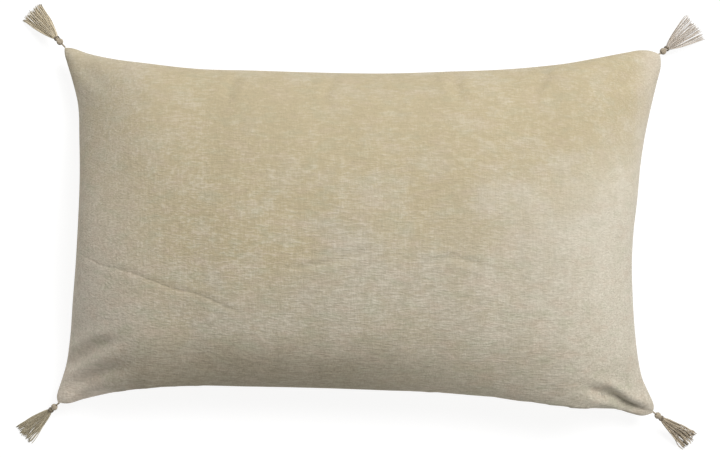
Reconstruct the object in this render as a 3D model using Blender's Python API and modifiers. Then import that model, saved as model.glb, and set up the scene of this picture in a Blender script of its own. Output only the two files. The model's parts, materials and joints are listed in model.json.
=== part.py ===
# Throw pillow: a lumbar cushion in a velvet cover, lying on its back.
# Metres, +Z up, front face up. The origin is the middle of the patch that rests on the floor.

import math
from collections import namedtuple

import bmesh
import bpy
from mathutils import Vector

# Filled cover
LENGTH = 0.488            # corner to corner along X
WIDTH = 0.293             # corner to corner along Y
THICKNESS = 0.118         # floor to crown
SEAM_HEIGHT = 0.050       # seam above the floor, at the middle of each side
CORNER_DROOP = 0.026      # how much lower the seam is at a corner
PULL_LEFT = 0.016         # how far the middle of each side is drawn in
PULL_RIGHT = 0.021
PULL_TOP = 0.021
PULL_BOTTOM = 0.0165
BELLY = 0.056             # depth below the seam before the floor flattens it
COVER_WALL = 0.0015
LIP_ROOM = 0.0008         # how far the upright edge of a panel stands past its own wall
SEAM_GAP = 0.0006         # between the two panels along the stitched seam

# Outline and section powers
END_POWER = 2.6           # bow of the left and right sides
TOP_POWER = 2.8           # bow of the top side
SWELL_POWER_X = 2.4       # fullness of the crown along X
SWELL_POWER_Y = 2.0       # and along Y
SWELL_ROUND = 0.54        # roundness of the crown towards the seam

# Inner cushion
INSERT_ROOM = 0.0008      # between the zip's tapes and the inner cushion
TICKING_WALL = 0.0008
INSERT_LIP = 0.0024
LAYER_GAP = 0.0004        # between one layer and the next
FILL_EASE = 0.0009        # extra room for the filling along the ticking's seam

# Zip in the bottom seam
ZIP_LENGTH = 0.280        # end to end over the stops
ZIP_CENTRE = -0.012
ZIP_SLIT = 0.0018         # opening between the panels along the zip
ZIP_MARGIN = 0.0006       # straight seam past the tab at each end
GROOVE = 0.0032           # depth of the groove that hides the slider
GROOVE_LIP = 0.0058       # height of each side of that groove
TAPE_WIDTH = 0.0082
TAPE_THICK = 0.0004
COIL_RADIUS = 0.0008
STOP_LENGTH = 0.003
SLIDER_LENGTH = 0.008
PLATE = 0.0006            # thickness of each plate of the slider
WEB = 0.0010              # thickness of the slider where it passes the slit
INNER_WEB = 0.0008        # and between the coils
ARCH_SPAN = 0.0060        # bridge of the slider, outside to outside
ARCH_WIRE = 0.0006
TAB_LENGTH = 0.021
TAB_WIDTH = 0.0052
TAB_THICK = 0.0006
TAB_BAR = 0.0007          # cross bar of the tab, inside the bridge
TAB_WINDOW = 0.0040       # length of the tab's window
TAB_NECK = 0.0037         # width of the tab beside its window
TAB_END_ANGLE = math.radians(80)
TAB_END_STEPS = 8
JOIN_DEPTH = PLATE / 4    # how far joined blocks run into each other
RUN_GAP = 0.0003          # running clearance of moving parts
ZIP_PLAY = 0.0004         # clearance between slider, coils and panels

# Tassels
CORD_RADIUS = 0.0008
CORD_SLIT = 0.0024        # opening between the panels at a corner
CORD_SLIT_FULL = 0.006    # reach of the full opening from the corner
CORD_SLIT_END = 0.017     # where it has closed to the seam gap
LINK_INSIDE = 0.0010      # link cord inside and outside the corner
LINK_OUTSIDE = 0.0022
LINK_SAG = 0.0008
CORD_STEPS = 3
HEAD_RADIUS = 0.0028
TASSEL_LENGTH = 0.0410    # top of the head to the tips
NECK_RADIUS = 0.0014
BINDING_LENGTH = 0.0026
BINDING_WALL = 0.0010
SKIRT_WIDE = 0.0220       # skirt at its tips, across and thick
SKIRT_THICK = 0.0050
SKIRT_POWER = 0.70        # how the skirt fans out
SKIRT_ROWS = 4            # rows of faces from the binding to the tips
KNOT_RADIUS = 0.0017
KNOT_DEPTH = 0.0120       # knot centre from the corner
TIP_CLEAR = 0.0006        # tips above the floor
JOINT_GAP = 0.0003

# Care label, inside the left seam
LABEL_LENGTH = 0.038
LABEL_HEIGHT = 0.012
LABEL_THICK = 0.0004
LABEL_LEAN = math.radians(35)

# Corner name: (sign of X, sign of Y, direction of its tassel in degrees from +X)
CORNERS = {
    "tl": (-1, 1, 135),
    "tr": (1, 1, 38),
    "bl": (-1, -1, 222),
    "br": (1, -1, -37),
}

GRID_X = 24               # faces of each panel along X and Y
GRID_Y = 16
WELD = 1e-6

HALF_LENGTH = LENGTH / 2
HALF_WIDTH = WIDTH / 2
ZIP_HALF = ZIP_LENGTH / 2
TAPE_START = COVER_WALL + ZIP_PLAY                     # depths are from the mouth of the slit
TAPE_END = TAPE_START + TAPE_WIDTH
INSERT_INSET = GROOVE + TAPE_END + INSERT_ROOM         # from cover seam to inner cushion
CORNER_LEVEL = KNOT_DEPTH                              # each corner is level out to its knot
CORNER_SHARE = 1 - CORNER_LEVEL / HALF_LENGTH
TAB_REACH = TAB_LENGTH - STOP_LENGTH - JOINT_GAP - SLIDER_LENGTH / 2      # past the zip, when it is open
STRAIGHT = abs(ZIP_CENTRE) + ZIP_HALF + TAB_REACH + ZIP_MARGIN           # half of the straight bottom seam


def clear_scene():
    for item in list(bpy.data.objects):
        bpy.data.objects.remove(item, do_unlink=True)


def make_collection(name):
    group = bpy.data.collections.new(name)
    bpy.context.scene.collection.children.link(group)
    return group


def make_material(name, colour, roughness, metallic=0.0):
    material = bpy.data.materials.new(name)
    material.use_nodes = True
    shader = material.node_tree.nodes["Principled BSDF"]
    shader.inputs["Base Color"].default_value = (*colour, 1.0)
    shader.inputs["Roughness"].default_value = roughness
    shader.inputs["Metallic"].default_value = metallic
    return material


def add_object(name, data, group, material=None, parent=None, place=(0, 0, 0), turn=(0, 0, 0)):
    item = bpy.data.objects.new(name, data)
    group.objects.link(item)
    item.location = place
    item.rotation_euler = turn
    item.parent = parent
    if material:
        data.materials.append(material)
    return item


def face_outward(shape):
    bmesh.ops.recalc_face_normals(shape, faces=shape.faces)
    if shape.calc_volume(signed=True) < 0:
        bmesh.ops.reverse_faces(shape, faces=shape.faces)


def finish_bmesh(name, shape, smooth_angle=None):
    mesh = bpy.data.meshes.new(name)
    shape.to_mesh(mesh)
    shape.free()
    if smooth_angle is not None:
        mesh.shade_smooth()
        mesh.set_sharp_from_angle(angle=math.radians(smooth_angle))
    return mesh


# ---- form of the cushion ----

def ease(share):
    share = min(1.0, max(0.0, share))
    return share * share * (3 - 2 * share)


def past_straight(x):
    return (abs(x) - STRAIGHT) / (HALF_LENGTH - STRAIGHT)


def plan_point(u, v, inset):
    end_pull = PULL_RIGHT if u > 0 else PULL_LEFT
    x = u * (HALF_LENGTH - inset - end_pull * (1 - abs(v) ** END_POWER))
    if v > 0:
        pull = PULL_TOP * (1 - abs(u) ** TOP_POWER)
    else:
        pull = PULL_BOTTOM * (1 - ease(past_straight(x)))
    return x, v * (HALF_WIDTH - inset - pull)


def seam_height(x, y):
    run_x = (abs(x) - STRAIGHT) / (HALF_LENGTH - STRAIGHT - CORNER_LEVEL)
    run_y = abs(y) / (HALF_WIDTH - CORNER_LEVEL)
    return SEAM_HEIGHT - CORNER_DROOP * ease(run_x) * ease(run_y)


def swell(u, v):
    across = (1 - abs(u) ** SWELL_POWER_X) * (1 - abs(v) ** SWELL_POWER_Y)
    return max(0.0, across) ** SWELL_ROUND


def on_zip(x, v):
    return v == -1 and abs(x) < STRAIGHT + RUN_GAP


def cover_gap(x, y, v):
    corner = math.hypot(HALF_LENGTH - abs(x), HALF_WIDTH - abs(y))
    share = (CORD_SLIT_END - corner) / (CORD_SLIT_END - CORD_SLIT_FULL)
    cord = SEAM_GAP + (CORD_SLIT - SEAM_GAP) * min(1.0, max(0.0, share))
    return ZIP_SLIT if on_zip(x, v) else cord


# One layer of the cushion: its wall, how far it lies inside the cover in plan and at the crown,
# the height of its upright edge, its seam gap, and whether it has the zip and cord openings.
Layer = namedtuple("Layer", "wall inset lift lip gap is_cover")

COVER = Layer(COVER_WALL, 0.0, 0.0, COVER_WALL + LIP_ROOM, SEAM_GAP, True)
TICKING = Layer(TICKING_WALL, INSERT_INSET, COVER_WALL + LAYER_GAP, INSERT_LIP, SEAM_GAP, False)
LAYER_STEP = TICKING_WALL + LAYER_GAP
FILL = Layer(0.0, INSERT_INSET + LAYER_STEP + FILL_EASE, TICKING.lift + LAYER_STEP,
             SEAM_GAP / 2 + INSERT_LIP - LAYER_STEP - FILL_EASE, 0.0, False)


def layer_point(layer, u, v, side, on_rim):
    """Point of one layer: side is 1 for the front and -1 for the back."""
    x, y = plan_point(u, v, layer.inset)
    seam = seam_height(x, y)
    groove = 1.0 if layer.is_cover and on_zip(x, v) else 0.0
    gap = cover_gap(x, y, v) if layer.is_cover else layer.gap
    edge = seam + side * gap / 2
    if on_rim:
        return Vector((x, y + GROOVE * groove, edge))
    base = edge + side * (layer.lip + (GROOVE_LIP - layer.lip) * groove)
    if side > 0:
        z = base + (THICKNESS - layer.lift - base) * swell(u, v)
    else:
        z = max(layer.lift, base - (BELLY - layer.lift) * swell(u, v))
    return Vector((x, y, z))


def spread_rows(share):
    return math.sin(share * math.pi / 2)    # closer near the seam


def spread_columns(share):
    """Half the columns stand in the straight stretch of the zip, and a column at its end."""
    straight = STRAIGHT / HALF_LENGTH
    beyond = max(0.0, 2 * abs(share) - 1)
    along = straight * min(1.0, 2 * abs(share)) + (1 - straight) * spread_rows(beyond)
    return math.copysign(along, share)


def panel_bmesh(layer, side):
    shape = bmesh.new()
    bmesh.ops.create_grid(shape, x_segments=GRID_X, y_segments=GRID_Y, size=1.0)
    for vertex in shape.verts:
        vertex.co.x = round(vertex.co.x * GRID_X / 2) * 2 / GRID_X
        vertex.co.y = round(vertex.co.y * GRID_Y / 2) * 2 / GRID_Y
    edges = [edge for edge in shape.edges if edge.is_boundary]
    grown = bmesh.ops.extrude_edge_only(shape, edges=edges)
    rim = {item for item in grown["geom"] if isinstance(item, bmesh.types.BMVert)}
    for vertex in shape.verts:
        u, v = spread_columns(vertex.co.x), spread_rows(vertex.co.y)
        vertex.co = layer_point(layer, u, v, side, vertex in rim)
    bmesh.ops.recalc_face_normals(shape, faces=shape.faces)
    upward = sum(face.normal.z * face.calc_area() for face in shape.faces)
    if upward * side < 0:
        bmesh.ops.reverse_faces(shape, faces=shape.faces)
    return shape


def make_panel(name, layer, side, group, material):
    mesh = finish_bmesh(name, panel_bmesh(layer, side), smooth_angle=50)
    panel = add_object(name, mesh, group, material)
    shell = panel.modifiers.new("Wall", "SOLIDIFY")
    shell.thickness = layer.wall
    shell.offset = -1
    shell.use_even_offset = True


def make_fill(group, material):
    shape = panel_bmesh(FILL, 1)
    lower = finish_bmesh("lower", panel_bmesh(FILL, -1))
    shape.from_mesh(lower)
    bpy.data.meshes.remove(lower)
    bmesh.ops.remove_doubles(shape, verts=shape.verts, dist=WELD)
    face_outward(shape)
    add_object("insert_fill", finish_bmesh("insert_fill", shape, smooth_angle=50), group, material)


def make_cushion(group, materials):
    for name, side in (("front", 1), ("back", -1)):
        make_panel("cover_" + name, COVER, side, group, materials["velvet"])
        make_panel("ticking_" + name, TICKING, side, group, materials["ticking"])
    make_fill(group, materials["fibre"])


# ---- simple solids ----

def box_mesh(name, low, high):
    low, high = Vector(low), Vector(high)
    shape = bmesh.new()
    bmesh.ops.create_cube(shape, size=1.0)
    middle = (low + high) / 2
    size = high - low
    for vertex in shape.verts:
        vertex.co = middle + Vector(a * b for a, b in zip(vertex.co, size))
    return finish_bmesh(name, shape)


def rod_mesh(name, radius, length, sides):
    shape = bmesh.new()
    bmesh.ops.create_cone(
        shape, cap_ends=True, segments=sides, radius1=radius, radius2=radius, depth=length)
    for vertex in shape.verts:
        vertex.co = Vector((vertex.co.z, vertex.co.x, vertex.co.y))
    face_outward(shape)
    return finish_bmesh(name, shape, smooth_angle=40)


def cord_curve(points, radius):
    curve = bpy.data.curves.new("cord", "CURVE")
    curve.dimensions = "3D"
    curve.bevel_depth = radius
    curve.bevel_resolution = 2
    curve.use_fill_caps = True
    line = curve.splines.new("POLY")
    line.points.add(len(points) - 1)
    for point, place in zip(line.points, points):
        point.co = (*place, 1.0)
    return curve


def outline_curve(name, outlines, thickness):
    curve = bpy.data.curves.new(name, "CURVE")
    curve.dimensions = "2D"
    curve.fill_mode = "BOTH"
    curve.extrude = thickness / 2
    for outline in outlines:
        line = curve.splines.new("POLY")
        line.points.add(len(outline) - 1)
        line.use_cyclic_u = True
        for point, place in zip(line.points, outline):
            point.co = (place[0], place[1], 0.0, 1.0)
    return curve


def join_to(item, mesh, cutters):
    partner = add_object(item.name + "_join", mesh, cutters, parent=item.parent,
                         place=item.location, turn=item.rotation_euler)
    partner.hide_render = True
    partner.display_type = "WIRE"
    union = item.modifiers.new("Join", "BOOLEAN")
    union.operation = "UNION"
    union.object = partner


# ---- zip ----

def make_zip(group, cutters, materials):
    slit_y = -(HALF_WIDTH - PULL_BOTTOM) + GROOVE
    rail = add_object("zip_axis", None, group, place=(ZIP_CENTRE, slit_y, SEAM_HEIGHT))

    # Depths run inward from the slit, so they are along +Y from the rail.
    plate_a = TAPE_START
    coil_y = plate_a + PLATE + ZIP_PLAY + COIL_RADIUS
    plate_b = coil_y + COIL_RADIUS + ZIP_PLAY
    coil_z = INNER_WEB / 2 + ZIP_PLAY + COIL_RADIUS
    tape_z = coil_z + COIL_RADIUS + JOINT_GAP
    coil_length = ZIP_LENGTH - 2 * (STOP_LENGTH + JOINT_GAP)
    plate_half = tape_z - ZIP_PLAY

    for name, side in (("front", 1), ("back", -1)):
        low, high = sorted((side * tape_z, side * (tape_z + TAPE_THICK)))
        tape = box_mesh("zip_tape_" + name, (-ZIP_HALF, TAPE_START, low), (ZIP_HALF, TAPE_END, high))
        add_object("zip_tape_" + name, tape, group, materials["tape"], rail)
        coil = rod_mesh("zip_coil_" + name, COIL_RADIUS, coil_length, 12)
        add_object("zip_coil_" + name, coil, group, materials["coil"], rail,
                   place=(0, coil_y, side * coil_z))

    stop_x = ZIP_HALF - STOP_LENGTH
    for name, side in (("closed", 1), ("open", -1)):
        near, far = sorted((side * stop_x, side * ZIP_HALF))
        stop = box_mesh("zip_stop_" + name, (near, plate_a, -plate_half),
                        (far, plate_b + PLATE, plate_half))
        add_object("zip_stop_" + name, stop, group, materials["metal"], rail)

    # The slider rests against the closed stop.
    slider_x = stop_x - JOINT_GAP - SLIDER_LENGTH / 2
    half = SLIDER_LENGTH / 2
    web_half = half - PLATE
    face_y = -RUN_GAP - PLATE
    face_half = ZIP_SLIT / 2 + RUN_GAP * GROOVE_LIP / GROOVE - ZIP_PLAY
    face = box_mesh("zip_slider", (-half, face_y, -face_half), (half, -RUN_GAP, face_half))
    slider = add_object("zip_slider", face, group, materials["metal"], rail, place=(slider_x, 0, 0))
    blocks = {
        "web": ((-web_half, -RUN_GAP - JOIN_DEPTH, -WEB / 2), (web_half, plate_a + JOIN_DEPTH, WEB / 2)),
        "plate_a": ((-half, plate_a, -plate_half), (half, plate_a + PLATE, plate_half)),
        "inner_web": ((-web_half, plate_a + PLATE - JOIN_DEPTH, -INNER_WEB / 2),
                      (web_half, plate_b + JOIN_DEPTH, INNER_WEB / 2)),
        "plate_b": ((-half, plate_b, -plate_half), (half, plate_b + PLATE, plate_half)),
    }
    for name, (low, high) in blocks.items():
        join_to(slider, box_mesh(name, low, high), cutters)

    # The bridge stands out from the slider's face; the tab's cross bar turns under it.
    bar_y = face_y - RUN_GAP - TAB_THICK / 2
    arch_y = bar_y - TAB_THICK / 2 - RUN_GAP - ARCH_WIRE
    arch_half = ARCH_SPAN / 2
    leg = arch_half - ARCH_WIRE
    arch = [
        (-arch_half, face_y + JOIN_DEPTH), (-arch_half, arch_y + ARCH_WIRE), (-leg, arch_y),
        (leg, arch_y), (arch_half, arch_y + ARCH_WIRE), (arch_half, face_y + JOIN_DEPTH),
        (leg, face_y + JOIN_DEPTH), (leg, arch_y + ARCH_WIRE), (-leg, arch_y + ARCH_WIRE),
        (-leg, face_y + JOIN_DEPTH),
    ]
    curve = outline_curve("arch", [arch], WEB)
    holder = add_object("arch_curve", curve, cutters)
    shape = bpy.data.meshes.new_from_object(
        holder.evaluated_get(bpy.context.evaluated_depsgraph_get()))
    bpy.data.objects.remove(holder, do_unlink=True)
    weld_mesh(shape)
    join_to(slider, shape, cutters)

    # The tab lies along the seam, towards the middle of the zip, and turns about Z.
    hinge = add_object("zip_tab_axis", None, group, parent=slider, place=(0, bar_y, 0))
    tab_curve = outline_curve("zip_pull_tab", tab_outlines(), TAB_THICK)
    add_object("zip_pull_tab", tab_curve, group, materials["metal"], hinge,
               turn=(math.radians(90), 0, math.radians(180)))


def weld_mesh(mesh):
    shape = bmesh.new()
    shape.from_mesh(mesh)
    bmesh.ops.remove_doubles(shape, verts=shape.verts, dist=WELD)
    face_outward(shape)
    shape.to_mesh(mesh)
    shape.free()


def tab_outlines():
    """Drop-shaped plate along +X with a window by its cross bar."""
    bar = TAB_BAR / 2
    end_radius = TAB_WIDTH / 2
    neck = TAB_NECK / 2
    outline = [(-bar, -neck), (TAB_WINDOW + TAB_BAR, -neck)]
    centre = TAB_LENGTH - bar - end_radius
    for step in range(TAB_END_STEPS + 1):
        angle = TAB_END_ANGLE * (2 * step / TAB_END_STEPS - 1)
        outline.append((centre + end_radius * math.cos(angle), end_radius * math.sin(angle)))
    outline += [(TAB_WINDOW + TAB_BAR, neck), (-bar, neck)]
    high = neck - TAB_BAR
    window = [(bar, -high), (bar, high), (TAB_WINDOW, high), (TAB_WINDOW, -high)]
    return [outline, window]


# ---- tassels ----

def skirt_mesh(name, start):
    """Bundle of strands along +X: a round neck inside the binding, then a fan to the tips."""
    neck_end = start + BINDING_LENGTH + JOINT_GAP
    skirt_end = TASSEL_LENGTH - HEAD_RADIUS
    shape = bmesh.new()
    bmesh.ops.create_cone(shape, cap_ends=True, segments=16, radius1=1.0, radius2=1.0, depth=1.0)
    sides = [edge for edge in shape.edges if abs(edge.verts[0].co.z - edge.verts[1].co.z) > 0.5]
    bmesh.ops.subdivide_edges(shape, edges=sides, cuts=SKIRT_ROWS)
    for vertex in shape.verts:
        row = round((vertex.co.z + 0.5) * (SKIRT_ROWS + 1))
        share = max(0, row - 1) / SKIRT_ROWS
        fan = share ** SKIRT_POWER
        x = neck_end + share * (skirt_end - neck_end) if row else start
        wide = NECK_RADIUS + (SKIRT_WIDE / 2 - NECK_RADIUS) * fan
        thick = NECK_RADIUS + (SKIRT_THICK / 2 - NECK_RADIUS) * fan
        vertex.co = Vector((x, vertex.co.x * wide, vertex.co.y * thick))
    face_outward(shape)
    return finish_bmesh(name, shape, smooth_angle=40)


def binding_mesh(name, start):
    """Turned neck wrap around the X axis."""
    inner = NECK_RADIUS + JOINT_GAP
    outer = inner + BINDING_WALL
    ease = BINDING_WALL / 4
    profile = [
        (inner, 0), (inner, BINDING_LENGTH), (outer - ease, BINDING_LENGTH),
        (outer, BINDING_LENGTH / 2), (outer - ease, 0),
    ]
    shape = bmesh.new()
    ring = [shape.verts.new((start + along, radius, 0)) for radius, along in profile]
    face = shape.faces.new(ring)
    edges = list(face.edges)
    bmesh.ops.delete(shape, geom=[face], context="FACES_ONLY")
    bmesh.ops.spin(shape, geom=ring + edges, cent=(0, 0, 0), axis=(1, 0, 0),
                   angle=math.tau, steps=16, use_merge=True)
    bmesh.ops.remove_doubles(shape, verts=shape.verts, dist=WELD)
    face_outward(shape)
    return finish_bmesh(name, shape, smooth_angle=40)


def ball_mesh(name, radius):
    shape = bmesh.new()
    bmesh.ops.create_uvsphere(shape, u_segments=14, v_segments=9, radius=radius)
    for vertex in shape.verts:
        vertex.co = Vector((vertex.co.z, vertex.co.x, vertex.co.y))
    face_outward(shape)
    return finish_bmesh(name, shape, smooth_angle=60)


def make_tassel(corner, group, cutters, materials):
    sign_x, sign_y, degrees = CORNERS[corner]
    tip = Vector((sign_x * HALF_LENGTH, sign_y * HALF_WIDTH, SEAM_HEIGHT - CORNER_DROOP))
    inside = Vector((*plan_point(sign_x * CORNER_SHARE, sign_y * CORNER_SHARE, 0), tip.z))
    inward = (inside - tip).normalized()    # along the middle of the corner
    pivot = tip + inward * LINK_INSIDE
    sway = add_object("sway_" + corner, None, group, place=pivot, turn=(0, 0, math.radians(degrees)))

    reach = LINK_INSIDE + LINK_OUTSIDE
    cord = [(-LINK_INSIDE, 0, 0)]
    for step in range(CORD_STEPS + 1):
        share = step / CORD_STEPS
        along = LINK_INSIDE + share * (LINK_OUTSIDE - JOINT_GAP)
        cord.append((along, 0, -LINK_SAG * share ** 2))
    add_object(f"tassel_{corner}_loop", cord_curve(cord, CORD_RADIUS), group, materials["cord"], sway)

    # The tassel leans down from the end of the link until its tips are just off the floor,
    # and turns about the middle of its head.
    top = tip.z - LINK_SAG
    tip_z = SKIRT_THICK / 2 + TIP_CLEAR
    slope = math.asin((top - tip_z) / TASSEL_LENGTH)
    centre = (reach + HEAD_RADIUS * math.cos(slope), 0, -LINK_SAG - HEAD_RADIUS * math.sin(slope))
    lift = add_object("lift_" + corner, None, group, parent=sway, place=centre, turn=(0, slope, 0))
    head = ball_mesh(f"tassel_{corner}_head", HEAD_RADIUS)
    add_object(f"tassel_{corner}_head", head, group, materials["yarn"], lift)
    neck_x = HEAD_RADIUS + JOINT_GAP
    skirt = skirt_mesh(f"tassel_{corner}_skirt", neck_x)
    add_object(f"tassel_{corner}_skirt", skirt, group, materials["yarn"], lift)
    binding = binding_mesh(f"tassel_{corner}_binding", neck_x)
    add_object(f"tassel_{corner}_binding", binding, group, materials["binding"], lift)
    make_anchor(corner, tip, inward, group, cutters, materials)


def make_anchor(corner, tip, inward, group, cutters, materials):
    name = f"tassel_{corner}_anchor"
    x, y = (tip + inward * KNOT_DEPTH).xy
    knot = Vector((x, y, seam_height(x, y)))
    swing = math.hypot(2 * LINK_INSIDE, CORD_RADIUS)
    tail_end = tip + inward * (LINK_INSIDE + swing + JOINT_GAP)
    tail_end.z = seam_height(tail_end.x, tail_end.y)
    away = (tail_end - knot).normalized()
    item = add_object(name, ball_mesh(name, KNOT_RADIUS), group, materials["cord"], place=knot)
    length = (tail_end - knot).length
    tail = rod_mesh("tail", CORD_RADIUS, length, 8)
    for vertex in tail.vertices:
        vertex.co.x += length / 2
    tail.transform(away.to_track_quat("X", "Z").to_matrix().to_4x4())
    join_to(item, tail, cutters)


# ---- care label ----

def make_label(group, material):
    x, _ = plan_point(-1, 0, 0)
    foot = Vector((x + COVER_WALL + ZIP_PLAY, 0, SEAM_HEIGHT + JOINT_GAP))
    label = box_mesh("care_label", (0, -LABEL_LENGTH / 2, 0),
                     (LABEL_THICK, LABEL_LENGTH / 2, LABEL_HEIGHT))
    add_object("care_label", label, group, material, place=foot, turn=(0, LABEL_LEAN, 0))


def main():
    clear_scene()
    group = make_collection("throw_pillow")
    cutters = make_collection("cutters")
    materials = {
        "velvet": make_material("velvet", (0.47, 0.40, 0.27), 0.9),
        "ticking": make_material("ticking", (0.80, 0.78, 0.74), 0.85),
        "fibre": make_material("fibre", (0.88, 0.88, 0.86), 0.95),
        "tape": make_material("zip_tape", (0.45, 0.38, 0.26), 0.8),
        "coil": make_material("zip_coil", (0.42, 0.36, 0.25), 0.45),
        "metal": make_material("zip_metal", (0.55, 0.50, 0.40), 0.35, 1.0),
        "cord": make_material("cord", (0.40, 0.34, 0.24), 0.85),
        "yarn": make_material("yarn", (0.46, 0.40, 0.30), 0.85),
        "binding": make_material("binding", (0.30, 0.25, 0.18), 0.85),
        "label": make_material("label", (0.85, 0.84, 0.80), 0.6),
    }
    make_cushion(group, materials)
    make_zip(group, cutters, materials)
    for corner in CORNERS:
        make_tassel(corner, group, cutters, materials)
    make_label(group, materials["label"])


main()
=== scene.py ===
import json
import math
import random

import bpy
import numpy as np
from mathutils import Matrix, Vector


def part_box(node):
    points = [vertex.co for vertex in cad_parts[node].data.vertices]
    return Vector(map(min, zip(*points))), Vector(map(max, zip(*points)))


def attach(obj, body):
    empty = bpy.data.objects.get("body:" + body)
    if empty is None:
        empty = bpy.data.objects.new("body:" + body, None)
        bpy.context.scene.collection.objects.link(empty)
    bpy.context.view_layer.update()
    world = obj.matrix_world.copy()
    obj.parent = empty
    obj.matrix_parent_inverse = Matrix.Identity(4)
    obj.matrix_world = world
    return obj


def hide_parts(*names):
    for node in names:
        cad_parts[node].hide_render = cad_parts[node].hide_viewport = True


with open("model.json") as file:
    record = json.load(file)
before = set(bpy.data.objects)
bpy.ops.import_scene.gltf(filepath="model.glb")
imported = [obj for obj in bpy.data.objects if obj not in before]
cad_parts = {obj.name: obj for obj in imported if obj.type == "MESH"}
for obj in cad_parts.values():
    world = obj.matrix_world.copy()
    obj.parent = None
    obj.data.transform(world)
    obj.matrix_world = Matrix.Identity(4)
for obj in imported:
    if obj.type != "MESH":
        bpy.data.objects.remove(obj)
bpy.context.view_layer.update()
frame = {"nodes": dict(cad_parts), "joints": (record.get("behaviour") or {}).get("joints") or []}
joints = {joint["name"]: joint for joint in frame["joints"]}
corners = ("tl", "tr", "bl", "br")
mm = 0.001
print("frame loaded:", len(frame["nodes"]), "nodes")


# small tools

def jointPlace(name):
    return Vector(joints[name]["pos_m"])


def ease(share):
    share = np.clip(share, 0.0, 1.0)
    return share * share * (3 - 2 * share)


def smoothLine(points, at):   # a smooth line through given points
    xs, ys = np.array(points, float).T
    slopes = np.gradient(ys, xs)
    k = np.clip(np.searchsorted(xs, at) - 1, 0, len(xs) - 2)
    width = xs[k + 1] - xs[k]
    t = (at - xs[k]) / width
    start, end = ys[k], ys[k + 1]
    leave, arrive = slopes[k] * width, slopes[k + 1] * width
    return (start * (1 + 2 * t) * (1 - t) ** 2 + leave * t * (1 - t) ** 2
            + end * t * t * (3 - 2 * t) - arrive * t * t * (1 - t))


def normalize(rows):
    return rows / np.maximum(np.linalg.norm(rows, axis=-1, keepdims=True), 1e-12)


def gridNormals(grid):
    return normalize(np.cross(np.gradient(grid, axis=0), np.gradient(grid, axis=1)))


def refine(grid):   # one subdivision of a grid of points, smooth across its faces
    for axis in (0, 1):
        rows = np.moveaxis(grid, axis, 0)
        before = np.concatenate([2 * rows[:1] - rows[1:2], rows[:-2]])
        after = np.concatenate([rows[2:], 2 * rows[-1:] - rows[-2:-1]])
        middle = (9 * (rows[:-1] + rows[1:]) - before - after) / 16
        finer = np.empty((2 * len(rows) - 1, *rows.shape[1:]))
        finer[0::2], finer[1::2] = rows, middle
        grid = np.moveaxis(finer, 0, axis)
    return grid


def sampleGrid(grid, rows, columns):   # points of a grid at places between its own
    rows = np.clip(rows, 0, grid.shape[0] - 1.001)
    columns = np.clip(columns, 0, grid.shape[1] - 1.001)
    i, j = rows.astype(int), columns.astype(int)
    a, b = (rows - i)[..., None], (columns - j)[..., None]
    return ((1 - a) * (1 - b) * grid[i, j] + a * (1 - b) * grid[i + 1, j]
            + (1 - a) * b * grid[i, j + 1] + a * b * grid[i + 1, j + 1])


def addPiece(name, points, faces, material, body, replaced=()):
    mesh = bpy.data.meshes.new(name)
    mesh.from_pydata([tuple(point) for point in points], [], [tuple(face) for face in faces])
    mesh.validate()
    mesh.shade_smooth()
    mesh.materials.append(material)
    piece = bpy.data.objects.new(name, mesh)
    bpy.context.scene.collection.objects.link(piece)
    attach(piece, body)
    if replaced:
        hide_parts(*replaced)
    return piece


def gridFaces(rows, columns, start=0, flip=False):
    index = start + np.arange(rows * columns).reshape(rows, columns)
    quads = np.stack([index[:-1, :-1], index[1:, :-1], index[1:, 1:], index[:-1, 1:]], -1).reshape(-1, 4)
    return quads[:, ::-1] if flip else quads


def borderOf(rows, columns):   # indices round the edge of a grid, as a loop
    index = np.arange(rows * columns).reshape(rows, columns)
    return np.concatenate([index[:-1, 0], index[-1, :-1], index[:0:-1, -1], index[0, :0:-1]])


def sew(top, bottom):   # joins two grids at their edge: points, those in use, new numbers and faces
    rows, columns = top.shape[:2]
    points = np.concatenate([top.reshape(-1, 3), bottom.reshape(-1, 3)])
    loop = borderOf(rows, columns)
    sewn = np.arange(len(points))
    sewn[rows * columns + loop] = loop
    faces = sewn[np.concatenate([gridFaces(rows, columns), gridFaces(rows, columns, rows * columns, True)])]
    used, short = np.unique(sewn), np.zeros(len(points), int)
    short[used] = np.arange(len(used))
    return points, used, short[sewn], short[faces]


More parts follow.
